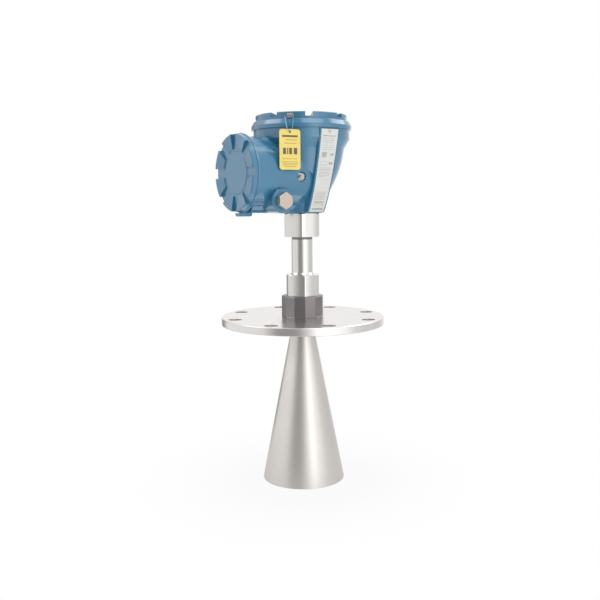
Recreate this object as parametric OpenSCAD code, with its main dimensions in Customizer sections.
// Radar level transmitter with a cone antenna, a plate flange and a two-compartment head.
// Millimetres. The origin is the centre of the flange's underside, +Z points up to the
// head, the terminal compartment points to -X, and the name plate's rib to -Y.

/* [Process flange] */
// Outside diameter of the plate flange
flange_d = 279.4; // [260:0.1:345]
// Thickness of the plate flange
flange_t = 13; // [10:0.5:26]
// Distance from the bolt circle to the flange's rim
bolt_edge = 19.05; // [16:0.05:24]
// Diameter of each bolt hole
bolt_hole_d = 22.4; // [16:0.1:26]
// Number of bolt holes
bolt_count = 8; // [4:4:12]
// Direction of the first bolt hole, in degrees from +X
bolt_phase = 31.1; // [0:0.1:45]

/* [Cone antenna] */
// Outside diameter of the cone at its mouth
cone_mouth_d = 142; // [90:1:190]
// Outside diameter of the cone where it meets the flange
cone_throat_d = 36.4; // [35.4:0.1:44]
// Length of the cone below the flange
cone_length = 273; // [120:0.5:360]
// Wall of the cone
cone_wall = 2; // [1.2:0.1:3]
// Outside diameter of the sleeve that passes through the flange
sleeve_d = 31.8; // [28.6:0.1:34]
// Wall of that sleeve
sleeve_wall = 2; // [1:0.1:2.5]

/* [Lock nut and adapter] */
// Lock nut across its twelve corners
lock_nut_corners = 72; // [64:0.5:86]
// Height of the lock nut
lock_nut_h = 36; // [24:0.5:50]
// Adapter hexagon across its flats
adapter_af = 55.5; // [50:0.5:62]
// Height of the adapter's hexagon
adapter_h = 36.5; // [20:0.5:50]
// Diameter of the adapter's threaded stem inside the lock nut
adapter_stem_d = 46; // [42:0.5:50]

/* [Neck] */
// Outside diameter of the neck tube
tube_d = 36.3; // [34.5:0.1:37.5]
// Wall of the neck tube
tube_wall = 3.2; // [2:0.1:4]
// Length of the neck tube between the adapter and its black bush
tube_length = 60; // [40:0.5:90]
// Diameter of the black bush at the top of the neck tube
bush_d = 35; // [33.5:0.1:36]
// Height of the black bush that shows below the neck nut
bush_show = 4.5; // [4:0.5:10]
// Neck nut across its flats
neck_nut_af = 60; // [57:0.5:70]
// Height of the neck nut
neck_nut_h = 40; // [36:0.5:50]
// Diameter of the thread that the neck nut runs on
neck_thread_d = 46; // [44:0.5:50]
// Depth of the neck nut's inner lip
nut_lip_h = 5; // [3:0.5:8]

/* [Housing] */
// Radius of the housing at its bottom
bell_foot_r = 35; // [34:0.5:40]
// Radius of the bell at its top
bell_top_r = 72; // [70:0.5:74]
// Height of the bell
bell_h = 106; // [100:0.5:120]
// Radius of the collar under the top cover
collar_r = 81; // [80:0.5:88]
// Height of the chamfer from the bell out to the collar
collar_chamfer_h = 15; // [10:0.5:18]
// Height of the collar
collar_h = 15.5; // [14:0.5:24]
// Radius of the collar's threaded bore
top_bore_r = 74; // [72:0.5:75]
// Radius of the ledge that the electronics module sits on
ledge_r = 64; // [62:0.5:66]
// Radius of the electronics well
well_r = 52; // [50:0.5:54]
// Depth of the electronics well below its ledge
well_depth = 42; // [36:0.5:46]
// Height of the ledge below the collar's rim
ledge_depth = 38.5; // [34:0.5:42]

/* [Terminal compartment] */
// Outside radius of the terminal compartment
term_r = 58.5; // [57:0.5:60]
// Height of its axis above the housing's bottom
term_axis_h = 65.5; // [62:0.5:70]
// Distance from the housing's axis to the compartment's rim
term_reach = 119; // [114:0.5:134]
// Radius of its threaded bore
term_bore_r = 51; // [49:0.5:52]
// Radius of its cavity
term_cavity_r = 49; // [46:0.5:49]
// Depth of its cavity from the rim
term_depth = 48; // [44:0.5:48]

/* [Covers] */
// Outside radius of the top cover's band
top_band_r = 84.5; // [83:0.5:91]
// Height of the top cover's band
top_band_h = 14; // [8:0.5:20]
// Step in from the top cover's band to its lobed crown
top_crown_step = 8; // [6:0.5:11]
// Height of the top cover's lobes above its disc
top_lobe_h = 7; // [4:0.5:10]
// Outside radius of the terminal cover's band
term_band_r = 63.5; // [62:0.5:67]
// Height of the terminal cover's band
term_band_h = 3.5; // [3:0.5:14]
// Step in from the terminal cover's band to its lobed crown
term_crown_step = 1.5; // [1:0.5:4]
// Height of the terminal cover's lobes above its disc
term_lobe_h = 5.5; // [4:0.5:8]
// Height of each cover's disc above its band
disc_rise = 4; // [3:0.5:8]
// Radius of each disc as a share of its crown
disc_share = 0.6; // [0.5:0.01:0.66]
// Width of the notches between the top cover's lobes
top_notch_w = 12.5; // [8:0.5:18]
// Width of the notches between the terminal cover's lobes
term_notch_w = 16; // [10:0.5:20]
// Number of lobes on each cover
lobe_count = 8; // [6:1:10]
// Length of each cover's threaded skirt
skirt_l = 13.5; // [13.5:0.5:14]
// Thickness of each cover's plate
cover_plate_t = 4.5; // [3:0.5:5]
// Direction of the middle of the lobe that carries the tag, in degrees from +X
tag_lobe_angle = -137; // [-140:1:-136]

/* [Conduit entries] */
// Distance of the entries from the housing's axis
conduit_x = 74; // [72:0.5:80]
// Height of the entries above the housing's bottom
conduit_h = 20.5; // [20:0.5:24]
// Radius of each entry's boss
conduit_boss_r = 20; // [16:0.5:20]
// Distance of each boss's face from the middle plane
conduit_face_y = 56; // [54:0.5:60]
// Radius of each entry's thread
conduit_bore_r = 9.3; // [8.8:0.1:10]
// Length of each entry's thread
conduit_thread_l = 22; // [20:0.5:24]
// Blanking plug across its flats
plug_af = 24; // [22:0.5:30]
// Height of the blanking plug's hexagon
plug_head_h = 10; // [5:0.5:12]

/* [Name plate] */
// Width of the name plate at its top
plate_top_w = 33; // [28:0.5:36]
// Width of the name plate at its bottom
plate_foot_w = 29; // [24:0.5:32]
// Thickness of the name plate
plate_t = 0.8; // [0.5:0.1:1.2]
// Width of the rib beyond each edge of the name plate
rib_margin = 2.5; // [1.5:0.5:4]

/* [Tag] */
// Width of the tag
tag_w = 36; // [30:0.5:40]
// Height of the tag
tag_h = 63; // [50:0.5:66]
// Thickness of the tag
tag_t = 1; // [0.8:0.1:1.5]
// Corner radius of the tag
tag_corner_r = 4.5; // [2:0.5:8]
// Diameter of the wire
wire_d = 1; // [0.8:0.1:1.2]

/* [Hidden] */
$fn = 96;

paint = "steelblue";
steel = "silver";
seal_black = [0.12, 0.12, 0.12];
eps = 0.01;          // overshoot of a cut past a face
gap = 0.3;           // space between faces that move past each other
slip = 0.1;          // radial space between pieces that stay together
step_count = 22;     // stretches along a curved outline

// Heights up the neck
z_flange = flange_t;
z_lock_nut = z_flange + lock_nut_h;
z_adapter = z_lock_nut + adapter_h;
z_tube = z_adapter + tube_length;
z_nut = z_tube + bush_show;
z_housing = z_nut + neck_nut_h;
washer_t = 2;
z_washer = z_nut + nut_lip_h + gap;
z_tube_collar = z_washer + washer_t + gap;
tube_collar_h = 4.5;
z_socket = z_tube_collar + tube_collar_h;

// Heights up the housing
z_bell = z_housing + bell_h;
z_collar = z_bell + collar_chamfer_h;
z_rim = z_collar + collar_h;
z_ledge = z_rim - ledge_depth;
z_well = z_ledge - well_depth;
z_thread = z_rim - 17.5;
z_term = z_housing + term_axis_h;
z_conduit = z_housing + conduit_h;
z_band = z_rim + top_band_h;
x_partition = term_reach - term_depth;

// Flange and neck radii
bolt_circle_d = flange_d - 2 * bolt_edge;
tube_r = tube_d / 2;
tube_bore_r = tube_r - tube_wall;
bush_r = bush_d / 2;
bush_wall = 2;
nut_lip_r = tube_r + gap + slip;
nut_bore_r = neck_thread_d / 2 + gap;
tube_collar_r = neck_thread_d / 2 - gap;
socket_r = neck_thread_d / 2 + 3;
socket_in = 44;           // how far the neck socket stands in the housing
socket_top = z_housing + socket_in;
coupler_r = 12.5;
sleeve_r = sleeve_d / 2;
sleeve_top = z_flange + 14;
window_r = sleeve_r - sleeve_wall - slip;
window_tip = 1.07 * sleeve_d;
stem_r = adapter_stem_d / 2;

// Covers
top_crown_r = top_band_r - top_crown_step;
term_crown_r = term_band_r - term_crown_step;
top_disc_r = disc_share * top_crown_r;
term_disc_r = disc_share * term_crown_r;
o_ring_r = 1.5;
o_ring_z = 3;         // middle of the O-ring below the cover's seat
shoulder_share = 0.4; // share of a cover's step that its band tapers in
disc_step = 0.8;      // height of the middle disc above the floor round it
moat_w = 2.7;         // width of that floor

// Nuts, flange and plate
lock_nut_angle = 4;
adapter_angle = 4;
neck_nut_angle = -125;
flange_edge = 0.8;   // chamfer of the flange's rims
weld_relief = 1;     // depth of the recess under the flange for the cone's weld
weld_r = cone_throat_d / 2 + 6;
plate_inset = 2.5;    // from the collar's rim down to the plate
plate_rise = 2;      // from the housing's bottom up to the plate
seat = 0.02;         // space behind a piece that lies on another

// Housing details
keel_top = 27;          // half width of the keel where it meets the compartment
keel_foot = 20;         // half width of its foot
keel_drop = 50;         // from the compartment's axis down to its top
passage_r = 8;
passage_y = 14;
jam_top = z_term - term_band_r - 0.6;
jam_lug_l = 24;         // length of the lug under the terminal cover
jam_reach = 7;          // how far it reaches past the compartment's rim
jam_lug_h = 5.5;
jam_half_w = 6.5;
jam_hole_r = 2.1;
jam_head_r = 3.5;
top_jam_angle = 118;
top_jam_r = top_band_r + 1.5;
ground_x = 39;
ground_h = 59;
ground_floor_y = 52.5;
feed_z = z_term + 4;
feed_r = 7;

// Electronics and terminals
module_r = ledge_r - 2;
module_screw_r = (ledge_r + well_r) / 2;
module_flange_t = 5;
module_screw_l = 8;     // length in the housing
module_screw_bore_r = 1.6;
board_z = z_ledge + module_flange_t;
block_w = 56;
block_h = 22;
block_t = 13;
block_rise = 6;
plug_in_w = 20;         // width of the connector on the board
inner_ground_l = 6.5;
inner_ground_r = 2;

// Tag and its wire
tag_azimuth = [cos(tag_lobe_angle), sin(tag_lobe_angle), 0];
tag_side = [-sin(tag_lobe_angle), cos(tag_lobe_angle), 0];
lug_l = 9.5;
lug_h = 8;
lug_depth = 6;
lug_bore_r = 1.4;
lug_z = z_band + 5.3;
lug_r = top_crown_r + 0.2 + lug_depth / 2;
wire_r = wire_d / 2;
tag_angle = -135.7;      // direction of the tag from the housing's axis
tag_r = top_band_r + 6.9;
tag_x = tag_r * cos(tag_angle);
tag_y = tag_r * sin(tag_angle);
tag_yaw = -9.5;
tag_top = z_rim - 4.3;
tag_hole_drop = 4;
tag_hole_r = 2;

// A point in front of the tag's lobe, in the part's own frame
function lobe_point(x, r, z) = x * tag_side + r * tag_azimuth + [0, 0, z];

// A point on the tag, in the part's own frame
function tag_point(x, out, z) = [
    tag_x + x * cos(tag_yaw) + out * sin(tag_yaw),
    tag_y + x * sin(tag_yaw) - out * cos(tag_yaw), z];

// The wire's loop: through the lug, over the cover's rim, and through the tag's hole
wire_off = wire_r + 0.6;   // from a surface to the wire's middle
wire_half = lug_l / 2 + wire_off;
wire_bend_r = top_band_r + wire_off;
wire_bend_z = z_band + 1.4;
wire_bend_half = wire_half + 1;
wire_tag_half = 5.5;
wire_route = [
    lobe_point(-wire_half, lug_r, lug_z),
    lobe_point(-wire_bend_half, wire_bend_r, wire_bend_z),
    tag_point(-wire_tag_half, tag_t + wire_off, tag_top + 2),
    tag_point(-0.8, tag_t + wire_off, tag_top - tag_hole_drop),
    tag_point(0.8, -wire_off, tag_top - tag_hole_drop),
    tag_point(wire_tag_half, -wire_off, tag_top + 2),
    lobe_point(wire_bend_half, wire_bend_r, wire_bend_z),
    lobe_point(wire_half, lug_r, lug_z)];

// One point of a cubic curve
function bezier(a, b, c, d, t) =
    pow(1 - t, 3) * a + 3 * pow(1 - t, 2) * t * b + 3 * (1 - t) * t * t * c + pow(t, 3) * d;

// The points of a cubic curve from a to d
function bezier_points(a, b, c, d) =
    [for (i = [0:step_count]) bezier(a, b, c, d, i / step_count)];

// The bell's outline, as [radius, height]
function bell_outline() = bezier_points(
    [bell_foot_r, z_housing],
    [bell_foot_r + 1.5, z_housing + 0.297 * bell_h],
    [bell_top_r - 8, z_housing + 0.434 * bell_h],
    [bell_top_r, z_bell]);

// The front of the name plate's rib, as [distance from the axis, height]
rib_foot = bell_foot_r + 6.5;
rib_top = collar_r + 1.2;
function rib_outline(out) = bezier_points(
    [rib_foot + out, z_housing + 1],
    [rib_foot + 23 + out, z_housing + 0.27 * (z_rim - z_housing)],
    [rib_top + 0.4 + out, z_rim - 9.5],
    [rib_top + out, z_rim - 1]);

// A hexagonal prism that stands on z = 0, with a corner towards the given angle
module hex(af, h, angle = 0) {
    rotate([0, 0, angle]) cylinder(h = h, d = af / cos(30), $fn = 6);
}

// A cone that trims the corners of a nut whose top face is at z = 0
module corner_trim(corners, drop) {
    rotate_extrude() polygon([
        [corners / 2 - 2 * drop, 0], [corners / 2 + drop, 0],
        [corners / 2 + drop, -1.5 * drop]]);
}

// A ring of square section
module ring(outer, inner, h) {
    difference() {
        cylinder(h = h, r = outer);
        translate([0, 0, -eps]) cylinder(h = h + 2 * eps, r = inner);
    }
}

// A ring of round section
module o_ring(radius, section) {
    rotate_extrude() translate([radius, 0]) circle(r = section, $fn = 32);
}

// A socket screw that points down, with the underside of its head at z = 0
module cap_screw(head_r, head_h, shank_r, shank_l, key) {
    difference() {
        union() {
            cylinder(h = head_h, r = head_r);
            translate([0, 0, -shank_l]) cylinder(h = shank_l + eps, r = shank_r);
        }
        translate([0, 0, head_h / 2]) hex(key, head_h);
    }
}

// A screw with a slotted pan head that points down
module pan_screw(head_r, head_h, shank_r, shank_l) {
    difference() {
        union() {
            rotate_extrude() polygon([
                [0, 0], [head_r, 0], [head_r, head_h * 0.5],
                [head_r * 0.86, head_h * 0.85], [head_r * 0.6, head_h], [0, head_h]]);
            translate([0, 0, -shank_l]) cylinder(h = shank_l + eps, r = shank_r);
        }
        translate([-head_r - 1, -0.6, head_h * 0.55]) cube([2 * head_r + 2, 1.2, head_h]);
    }
}

// Turns a piece that points up so that it points to -X
module to_minus_x() { rotate([0, -90, 0]) children(); }

// Turns a piece that points up so that it points to -Y
module to_minus_y() { rotate([90, 0, 0]) children(); }

// Puts a piece on the terminal compartment's axis, at a distance along -X
module at_terminal(x) { translate([-x, 0, z_term]) to_minus_x() children(); }

// A screw cover that seats on z = 0, with its lobes upwards and its skirt downwards
module cover(band_r, band_h, crown_r, disc_r, lobe_h, notch_w, bore_r, hollow_r, phase) {
    disc_z = band_h + disc_rise;
    skirt_r = bore_r - gap;
    groove_r = skirt_r - 2 * o_ring_r - gap;
    shoulder_r = band_r - shoulder_share * (band_r - crown_r);
    difference() {
        union() {
            rotate_extrude() polygon([
                [0, 0], [band_r - 0.4, 0], [band_r, 0.4], [band_r, band_h * 0.45],
                [shoulder_r, band_h * 0.94], [shoulder_r - 0.1 * (band_r - crown_r), band_h],
                [crown_r, band_h], [crown_r, disc_z + lobe_h - 1],
                [crown_r - 1, disc_z + lobe_h], [crown_r - 3, disc_z + lobe_h],
                [disc_r + 2, disc_z + 2.2], [disc_r, disc_z],
                [disc_r - moat_w, disc_z], [disc_r - moat_w - disc_step, disc_z + disc_step],
                [0, disc_z + disc_step]]);
            translate([0, 0, -skirt_l]) cylinder(h = skirt_l + eps, r = skirt_r);
        }
        for (i = [0:lobe_count - 1])
            rotate([0, 0, phase + (i + 0.5) * 360 / lobe_count])
                translate([disc_r, -notch_w / 2, disc_z])
                    cube([crown_r, notch_w, lobe_h + 1]);
        translate([0, 0, -skirt_l - eps])
            cylinder(h = skirt_l + disc_z - cover_plate_t + eps, r = hollow_r);
        translate([0, 0, -o_ring_z - o_ring_r - gap])
            ring(skirt_r + 1, groove_r, 2 * (o_ring_r + gap));
    }
}

// ---- Process side ----

module flange() {
    color(steel) difference() {
        rotate_extrude() polygon([
            [sleeve_r + slip, weld_relief], [weld_r, weld_relief], [weld_r, 0],
            [flange_d / 2 - flange_edge, 0], [flange_d / 2, flange_edge],
            [flange_d / 2, flange_t - flange_edge], [flange_d / 2 - flange_edge, flange_t],
            [sleeve_r + slip, flange_t]]);
        for (i = [0:bolt_count - 1])
            rotate([0, 0, bolt_phase + i * 360 / bolt_count])
                translate([bolt_circle_d / 2, 0, -eps])
                    cylinder(h = flange_t + 2 * eps, d = bolt_hole_d);
    }
}

module cone_antenna() {
    mouth = cone_mouth_d / 2;
    throat = cone_throat_d / 2;
    color(steel) rotate_extrude() polygon([
        [sleeve_r - sleeve_wall, sleeve_top], [sleeve_r - sleeve_wall, 0],
        [mouth - cone_wall, -cone_length], [mouth, -cone_length], [throat, 0],
        [throat, weld_relief], [sleeve_r, weld_relief], [sleeve_r, sleeve_top]]);
}

module sealing_window() {
    color("white") rotate_extrude() polygon([
        [0, -window_tip], [1.5, -window_tip + 0.5], [window_r - 1, -2], [window_r, 0],
        [window_r, sleeve_top - 7], [window_r - 2, sleeve_top - 7],
        [window_r - 2, sleeve_top - 3], [window_r, sleeve_top - 3],
        [window_r, sleeve_top], [0, sleeve_top]]);
}

module window_o_ring() {
    color(seal_black) translate([0, 0, sleeve_top - 5]) o_ring(window_r - 1, 0.95);
}

module lock_nut() {
    color([0.25, 0.25, 0.26]) translate([0, 0, z_flange]) difference() {
        rotate([0, 0, lock_nut_angle]) cylinder(h = lock_nut_h, d = lock_nut_corners, $fn = 12);
        translate([0, 0, -eps]) cylinder(h = lock_nut_h + 2 * eps, r = stem_r + slip);
        translate([0, 0, lock_nut_h]) corner_trim(lock_nut_corners, 0.8);
    }
}

module adapter() {
    color(steel) difference() {
        union() {
            translate([0, 0, z_lock_nut]) hex(adapter_af, adapter_h, adapter_angle);
            translate([0, 0, z_flange]) cylinder(h = lock_nut_h + eps, r = stem_r);
        }
        translate([0, 0, z_adapter]) corner_trim(adapter_af / cos(30), 1.2);
        translate([0, 0, z_flange - eps])
            cylinder(h = sleeve_top - z_flange + 0.2 + eps, r = sleeve_r + slip);
        translate([0, 0, z_flange]) cylinder(h = z_adapter, r = coupler_r + slip);
        translate([0, 0, z_adapter - 12]) cylinder(h = 13, r = tube_r + slip);
    }
}

module waveguide_tube() {
    foot = z_adapter - 12 + slip;
    color(steel) difference() {
        rotate_extrude() polygon([
            [tube_bore_r, foot], [tube_r, foot], [tube_r, z_adapter],
            [tube_r + 1.2, z_adapter], [tube_r + 1.2, z_adapter + 0.8],
            [tube_r, z_adapter + 3], [tube_r, z_tube],
            [bush_r - bush_wall, z_tube], [bush_r - bush_wall, z_nut + nut_lip_h + gap],
            [tube_r - 0.1, z_nut + nut_lip_h + gap], [tube_r - 0.1, z_tube_collar],
            [tube_collar_r, z_tube_collar], [tube_collar_r, z_socket],
            [tube_bore_r, z_socket]]);
        translate([0, 0, z_tube - 2])
            cylinder(h = z_socket - z_tube + 4, r = coupler_r + slip);
    }
}

module neck_bush() {
    color(seal_black) translate([0, 0, z_tube])
        ring(bush_r, bush_r - bush_wall + 0.05, bush_show + nut_lip_h);
}

module inner_waveguide() {
    color("gold") translate([0, 0, sleeve_top + 0.5])
        ring(coupler_r, coupler_r - 1.5, z_socket - sleeve_top - 1);
}

module slip_washer() {
    color("ivory") translate([0, 0, z_washer])
        ring(tube_collar_r, tube_r + gap, washer_t);
}

module neck_nut() {
    h = neck_nut_h - gap;
    corners = neck_nut_af / cos(30);
    color(steel) translate([0, 0, z_nut]) difference() {
        hex(neck_nut_af, h, neck_nut_angle);
        translate([0, 0, -eps]) cylinder(h = h + 2 * eps, r = nut_lip_r);
        translate([0, 0, nut_lip_h]) cylinder(h = h, r = nut_bore_r);
        translate([0, 0, h]) corner_trim(corners, 1.2);
        mirror([0, 0, 1]) corner_trim(corners, 1.2);
    }
}

// ---- Head ----

// The rib that carries the name plate, or the plate itself
module rib_shape(inner, outer, top_w, foot_w, z_low, z_high) {
    intersection() {
        rotate([90, 0, 90]) translate([0, 0, -top_w]) linear_extrude(2 * top_w)
            polygon(concat(
                [for (p = rib_outline(outer)) [-p[0], p[1]]],
                inner));
        rotate([90, 0, 0]) linear_extrude(2 * collar_r)
            polygon([[-foot_w / 2, z_low], [foot_w / 2, z_low],
                [top_w / 2, z_high], [-top_w / 2, z_high]]);
    }
}

module housing_rib() {
    rib_shape([[-10, z_rim - 1], [-10, z_housing + 1]], -plate_t,
        plate_top_w + 2 * rib_margin, plate_foot_w + 2 * rib_margin,
        z_housing, z_rim);
}

// The flat-bottomed keel under the terminal compartment
module keel() {
    low = z_housing + 1.5;
    high = z_term - keel_drop;
    rotate([90, 0, -90]) linear_extrude(term_reach - 8)
        polygon([[-keel_top, high], [1 - keel_foot, low + 3.5], [-keel_foot, low + 2.5],
            [-keel_foot, low], [keel_foot, low], [keel_foot, low + 2.5],
            [keel_foot - 1, low + 3.5], [keel_top, high]]);
}

module conduit_boss(side) {
    translate([-conduit_x, 0, z_conduit]) rotate([-side * 90, 0, 0]) rotate_extrude()
        polygon([[0, 0], [conduit_boss_r, 0], [conduit_boss_r, conduit_face_y - 1],
            [conduit_boss_r - 1, conduit_face_y], [0, conduit_face_y]]);
}

// A threaded entry, with the narrower passage that leads on into the cavity
module conduit_bore(side) {
    translate([-conduit_x, 0, z_conduit]) rotate([-side * 90, 0, 0]) {
        translate([0, 0, conduit_face_y - conduit_thread_l])
            cylinder(h = conduit_thread_l + 1, r = conduit_bore_r);
        translate([0, 0, passage_y]) cylinder(h = conduit_face_y - passage_y, r = passage_r);
    }
}

module terminal_jam_lug() {
    front = -term_reach - jam_reach;
    rotate([90, 0, 0]) translate([0, 0, -jam_half_w]) linear_extrude(2 * jam_half_w)
        polygon([[front, jam_top], [front, jam_top - jam_lug_h + 2],
            [front + 2, jam_top - jam_lug_h], [front + jam_lug_l - 2, jam_top - jam_lug_h],
            [front + jam_lug_l, jam_top - jam_lug_h + 2], [front + jam_lug_l, jam_top + 8],
            [-term_reach, jam_top + 8], [-term_reach, jam_top]]);
}

module top_jam_lug() {
    rotate([0, 0, top_jam_angle]) translate([0, 0, z_collar - 4])
        linear_extrude(z_rim - z_collar + 3.2)
            polygon([[collar_r - 6, -9], [top_jam_r + 2, -7], [top_jam_r + 4, -5],
                [top_jam_r + 4, 5], [top_jam_r + 2, 7], [collar_r - 6, 9]]);
}

module ground_recess() {
    translate([-ground_x, -ground_floor_y, z_housing + ground_h]) to_minus_y()
        cylinder(h = 20, r = 8);
    translate([-ground_x, -ground_floor_y + 9, z_housing + ground_h]) to_minus_y()
        cylinder(h = 10, r = 2.5 + slip);
}

// The recess that the name plate lies in where the collar stands proud of the rib
module plate_recess() {
    rib_shape(
        [for (i = [step_count:-1:0]) let (p = rib_outline(-plate_t)[i]) [-p[0], p[1]]],
        collar_r, plate_top_w + 2 * gap, plate_foot_w + 2 * gap,
        z_housing + plate_rise - gap, z_rim - plate_inset + gap);
}

module housing() {
    color(paint) difference() {
        union() {
            rotate_extrude() polygon(concat(
                [[0, z_housing]], bell_outline(),
                [[collar_r, z_collar], [collar_r, z_rim], [0, z_rim]]));
            at_terminal(0) cylinder(h = term_reach, r = term_r);
            housing_rib();
            keel();
            conduit_boss(1);
            conduit_boss(-1);
            terminal_jam_lug();
            top_jam_lug();
        }
        translate([0, 0, z_thread]) cylinder(h = ledge_depth, r = top_bore_r);
        translate([0, 0, z_ledge]) cylinder(h = ledge_depth + 1, r = ledge_r);
        translate([0, 0, z_well]) cylinder(h = well_depth + 1, r = well_r);
        translate([0, 0, z_housing - eps])
            cylinder(h = socket_top - z_housing + slip, r = socket_r + slip / 2);
        translate([0, 0, z_housing]) cylinder(h = z_well - z_housing + 1, r = coupler_r + 1);
        at_terminal(term_reach - 15) cylinder(h = 20, r = term_bore_r);
        at_terminal(x_partition) cylinder(h = term_depth, r = term_cavity_r);
        translate([-x_partition - 1, 0, feed_z]) rotate([0, 90, 0])
            cylinder(h = x_partition - well_r / 2, r = feed_r + slip / 2);
        for (side = [-1, 1]) conduit_bore(side);
        plate_recess();
        ground_recess();
        translate([-term_reach - jam_reach / 2, 0, jam_top - jam_lug_h - 1])
            cylinder(h = jam_lug_h + 2, r = jam_hole_r);
        rotate([0, 0, top_jam_angle]) translate([top_jam_r - 1, 0, z_collar - 5])
            cylinder(h = z_rim, r = jam_hole_r);
        rotate([0, 0, top_jam_angle]) translate([top_jam_r - 1, 0, z_rim - 5.5])
            cylinder(h = 10, r = jam_head_r + 0.2);
        module_screw_places() translate([0, 0, -module_screw_l])
            cylinder(h = module_screw_l + 1, r = module_screw_bore_r);
        plate_rivet_place(-0.2) translate([0, 0, -5]) cylinder(h = 6, r = 1.3);
        inner_ground_place() translate([0, 0, -inner_ground_l - 0.5])
            cylinder(h = inner_ground_l + 1.5, r = inner_ground_r + slip);
        terminal_screw_places(0) translate([0, 0, -6 - block_t]) cylinder(h = 7, r = 1.1);
    }
}

module neck_socket() {
    color(steel) difference() {
        union() {
            translate([0, 0, z_socket])
                cylinder(h = z_housing - z_socket + eps, r = neck_thread_d / 2);
            translate([0, 0, z_housing]) cylinder(h = socket_top - z_housing, r = socket_r);
        }
        translate([0, 0, z_socket - eps])
            cylinder(h = socket_top - z_socket + 2 * eps, r = coupler_r + slip);
    }
}

module antenna_coupler() {
    color("gold") translate([0, 0, z_socket + 0.5]) difference() {
        cylinder(h = z_well - z_socket, r = coupler_r);
        translate([0, 0, -eps]) cylinder(h = z_well - z_socket - 20, r = coupler_r - 1.5);
    }
}

module name_plate() {
    back = rib_outline(seat - plate_t);
    color([0.86, 0.87, 0.86]) difference() {
        rib_shape([for (i = [step_count:-1:0]) [-back[i][0], back[i][1]]],
            0, plate_top_w, plate_foot_w, z_housing + plate_rise, z_rim - plate_inset);
        plate_rivet_place(-3) cylinder(h = 8, r = 1.3);
    }
}

module plate_rivet_place(lift) {
    translate([0, -rib_top - lift, z_rim - plate_inset - 3.4]) to_minus_y() children();
}

module name_plate_rivets() {
    color(steel) plate_rivet_place(0) union() {
        translate([0, 0, -4]) cylinder(h = 4.2, r = 1.2);
        rotate_extrude() polygon([[0, 0.1], [2.4, 0.1], [2.1, 0.9], [1.2, 1.4], [0, 1.6]]);
    }
}

module ground_screw() {
    color(steel) translate([-ground_x, -ground_floor_y - 4.4, z_housing + ground_h])
        to_minus_y() difference() {
            union() {
                translate([0, 0, -11]) cylinder(h = 11.1, r = 2.5);
                hex(8, 3.6, 20);
            }
            translate([-6, -0.6, 2.2]) cube([12, 1.2, 3]);
        }
}

module ground_washer() {
    color(steel) translate([-ground_x, -ground_floor_y - 3, z_housing + ground_h])
        to_minus_y() ring(4.6, 2.5 + slip, 1.3);
}

module ground_clamp() {
    color(steel) translate([-ground_x, -ground_floor_y - 0.1, z_housing + ground_h])
        to_minus_y() difference() {
            union() {
                translate([-5, -6, 1.2]) cube([10, 12, 1.6]);
                for (side = [-1, 1]) translate([side * 4.25 - 0.75, -6, 0]) cube([1.5, 12, 1.3]);
            }
            translate([0, 0, -1]) cylinder(h = 6, r = 2.5 + slip);
        }
}

module conduit_plug() {
    color(steel) translate([-conduit_x, -conduit_face_y, z_conduit]) to_minus_y()
        difference() {
            union() {
                translate([0, 0, -18]) cylinder(h = 19, r = conduit_bore_r - slip);
                cylinder(h = 2, r = plug_af / 2);
                translate([0, 0, 1]) hex(plug_af, plug_head_h - 1, 90);
            }
            translate([0, 0, plug_head_h]) corner_trim(plug_af / cos(30), 0.8);
            translate([0, 0, -19]) cylinder(h = 15, r = conduit_bore_r - 3);
            translate([0, 0, -1.9]) ring(conduit_bore_r + 1, conduit_bore_r - 1.6, 1.9);
        }
}

module conduit_plug_seal() {
    color(seal_black) translate([-conduit_x, -conduit_face_y + 0.95, z_conduit])
        to_minus_y() o_ring(conduit_bore_r - 0.85, 0.7);
}

module terminal_jam_screw() {
    color(steel) translate([-term_reach - jam_reach / 2, 0, jam_top - jam_lug_h + 0.5])
        difference() {
            cylinder(h = jam_lug_h - 0.7, r = jam_hole_r - slip);
            translate([0, 0, -1]) hex(2, 3);
        }
}

module top_jam_screw() {
    color(steel) rotate([0, 0, top_jam_angle])
        translate([top_jam_r - 1, 0, z_rim - 4.6]) cap_screw(jam_head_r, 4, jam_hole_r - slip, 12, 3);
}

// ---- Electronics ----

module module_screw_places() {
    for (i = [0:2]) rotate([0, 0, 30 + 120 * i])
        translate([module_screw_r, 0, z_ledge]) children();
}

module electronics_module() {
    color([0.18, 0.2, 0.22]) difference() {
        union() {
            translate([0, 0, z_well + 4])
                cylinder(h = well_depth - 4 + eps, r = well_r - 3);
            translate([0, 0, z_ledge]) cylinder(h = module_flange_t, r = module_r);
            translate([0, 0, z_ledge + module_flange_t - eps])
                cylinder(h = 4, r = well_r - 2);
        }
        module_screw_places() translate([0, 0, -1])
            cylinder(h = module_flange_t + 2, r = module_screw_bore_r);
        translate([0, 0, z_ledge + module_flange_t]) cylinder(h = 5, r = well_r - 6);
    }
}

module module_screws() {
    color(steel) module_screw_places() translate([0, 0, module_flange_t])
        pan_screw(3, 2.2, module_screw_bore_r - slip, module_flange_t + module_screw_l - 0.5);
}

module circuit_board() {
    color("darkgreen") translate([0, 0, board_z]) union() {
        cylinder(h = 1.6, r = well_r - 6.5);
        for (p = [[-18, 14, 14, 10], [8, 16, 10, 10], [-24, -12, 8, 16], [16, -8, 12, 6]])
            translate([p[0], p[1], 1.6 - eps]) cube([p[2], p[3], 2]);
    }
}

module board_connector() {
    color("ivory") translate([-plug_in_w / 2, -0.54 * well_r, board_z + 1.6]) difference() {
        cube([plug_in_w, 8, 7]);
        translate([1.5, 1.5, 2]) cube([plug_in_w - 3, 5, 6]);
    }
}

// ---- Terminal compartment ----

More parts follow.
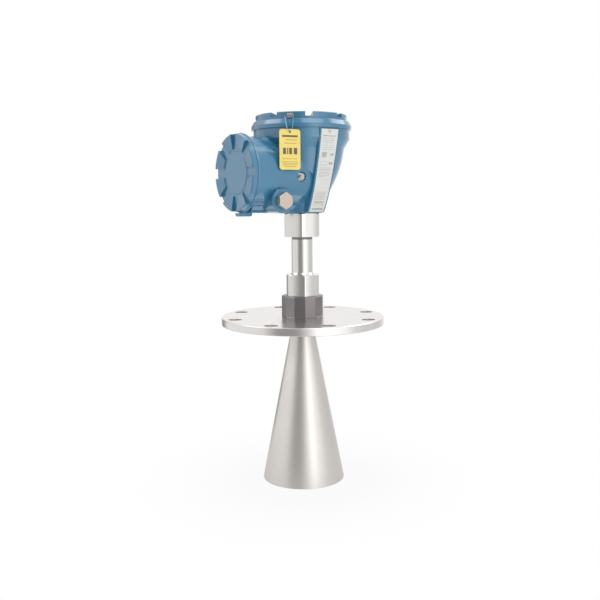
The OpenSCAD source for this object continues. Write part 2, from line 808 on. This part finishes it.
module terminal_block() {
    color([0.15, 0.16, 0.17]) translate([-x_partition, 0, z_term + block_rise])
        to_minus_x() difference() {
            union() {
                translate([-block_h / 2, -block_w / 2, 0]) cube([block_h, block_w, block_t]);
                for (i = [-1.5:1:1.5]) translate([-block_h / 2, i * 15 - 0.9, block_t - eps])
                    cube([block_h, 1.8, 3]);
            }
            for (i = [-1:1]) {
                translate([0, i * 15, -1]) cylinder(h = block_t + 2, r = 2.1);
                translate([-block_h / 2 - 1, i * 15 - 4.5, block_t - 4])
                    cube([block_h + 2, 9, 5]);
            }
            translate([6, 0, -1]) cylinder(h = 0.9, r = feed_r + 2);
        }
}

// The places of the terminal screws, on the top face of the wire clamps
module terminal_screw_places(lift) {
    for (i = [-1:1])
        translate([-x_partition, i * 15, z_term + block_rise]) to_minus_x()
            translate([0, 0, block_t + lift]) children();
}

module wire_clamps() {
    color("gold") terminal_screw_places(-4) difference() {
        translate([-6, -3.8, 0]) cube([12, 7.6, 1.6]);
        translate([0, 0, -1]) cylinder(h = 4, r = 2.1);
    }
}

module terminal_screws() {
    color(steel) terminal_screw_places(-2.4) pan_screw(3.4, 2.4, 2, 9.5);
}

module inner_ground_place() {
    translate([-x_partition, 24, z_term - 24]) to_minus_x() children();
}

module inner_ground_screw() {
    color("limegreen") inner_ground_place() pan_screw(4, 3, inner_ground_r, inner_ground_l);
}

module feedthrough() {
    color([0.5, 0.33, 0.15]) translate([-x_partition, 0, feed_z]) rotate([0, 90, 0])
        cylinder(h = x_partition - well_r, r = feed_r);
}

module feedthrough_pins() {
    color("gold") for (i = [-1:1])
        translate([-well_r, i * 3.5, feed_z]) rotate([0, 90, 0]) cylinder(h = 2.5, r = 0.6);
}

// ---- Covers ----

module top_cover() {
    color(paint) translate([0, 0, z_rim])
        cover(top_band_r, top_band_h, top_crown_r, top_disc_r, top_lobe_h, top_notch_w,
            top_bore_r, ledge_r + 2, tag_lobe_angle);
}

module top_cover_o_ring() {
    color(seal_black) translate([0, 0, z_rim - o_ring_z])
        o_ring(top_bore_r - gap - o_ring_r, o_ring_r);
}

module terminal_cover() {
    color(paint) at_terminal(term_reach)
        cover(term_band_r, term_band_h, term_crown_r, term_disc_r, term_lobe_h,
            term_notch_w, term_bore_r, term_cavity_r - 4, 180 / lobe_count);
}

module terminal_cover_o_ring() {
    color(seal_black) at_terminal(term_reach - o_ring_z)
        o_ring(term_bore_r - gap - o_ring_r, o_ring_r);
}

// ---- Tag ----

// Puts a piece in front of the tag's lobe: x along the rim, y outwards
module at_tag_lobe() {
    rotate([0, 0, tag_lobe_angle - 90]) children();
}

module seal_lug() {
    color([0.72, 0.66, 0.64]) at_tag_lobe() difference() {
        translate([0, 0, z_band + 0.1]) rotate([90, 0, 90])
            translate([top_crown_r + 0.1, 0, -lug_l / 2]) linear_extrude(lug_l)
                polygon([[0, 0], [lug_depth, 0], [lug_depth, lug_h - 3],
                    [lug_depth - 3, lug_h], [0, lug_h]]);
        translate([-lug_l, lug_r, lug_z]) rotate([0, 90, 0])
            cylinder(h = 2 * lug_l, r = lug_bore_r);
        difference() {
            translate([-lug_l, 0, z_band]) cube([2 * lug_l, top_crown_r + 0.15, 20]);
            translate([0, 0, z_band - 1]) cylinder(h = 1, r = 1);
        }
    }
}

module safety_tag() {
    w = tag_w / 2 - tag_corner_r;
    low = tag_top - tag_h + tag_corner_r;
    high = tag_top - tag_corner_r;
    color("gold") translate([tag_x, tag_y, 0]) rotate([0, 0, tag_yaw])
        to_minus_y() difference() {
            linear_extrude(tag_t) union() {
                translate([-w, low - tag_corner_r])
                    square([2 * w, tag_h]);
                translate([-tag_w / 2, low]) square([tag_w, high - low]);
                for (x = [-w, w], y = [low, high])
                    translate([x, y]) circle(r = tag_corner_r, $fn = 48);
            }
            translate([0, tag_top - tag_hole_drop, -1])
                cylinder(h = tag_t + 2, r = tag_hole_r);
        }
}

// A round bar between two points
module bar(a, b, r) {
    d = b - a;
    l = norm(d);
    translate(a) rotate([0, acos(d[2] / l), atan2(d[1], d[0])])
        cylinder(h = l, r = r, $fn = 16);
}

module tag_wire() {
    n = len(wire_route);
    color("lightsteelblue") union() {
        for (i = [0:n - 1]) bar(wire_route[i], wire_route[(i + 1) % n], wire_r);
        for (p = wire_route) translate(p) sphere(r = wire_r + 0.03, $fn = 16);
    }
}

flange();
cone_antenna();
sealing_window();
window_o_ring();
lock_nut();
adapter();
waveguide_tube();
neck_bush();
inner_waveguide();
slip_washer();
neck_nut();
housing();
neck_socket();
antenna_coupler();
name_plate();
name_plate_rivets();
ground_screw();
ground_washer();
ground_clamp();
conduit_plug();
conduit_plug_seal();
terminal_jam_screw();
top_jam_screw();
electronics_module();
module_screws();
circuit_board();
board_connector();
terminal_block();
terminal_screws();
wire_clamps();
inner_ground_screw();
feedthrough();
feedthrough_pins();
top_cover();
top_cover_o_ring();
seal_lug();
terminal_cover();
terminal_cover_o_ring();
safety_tag();
tag_wire();
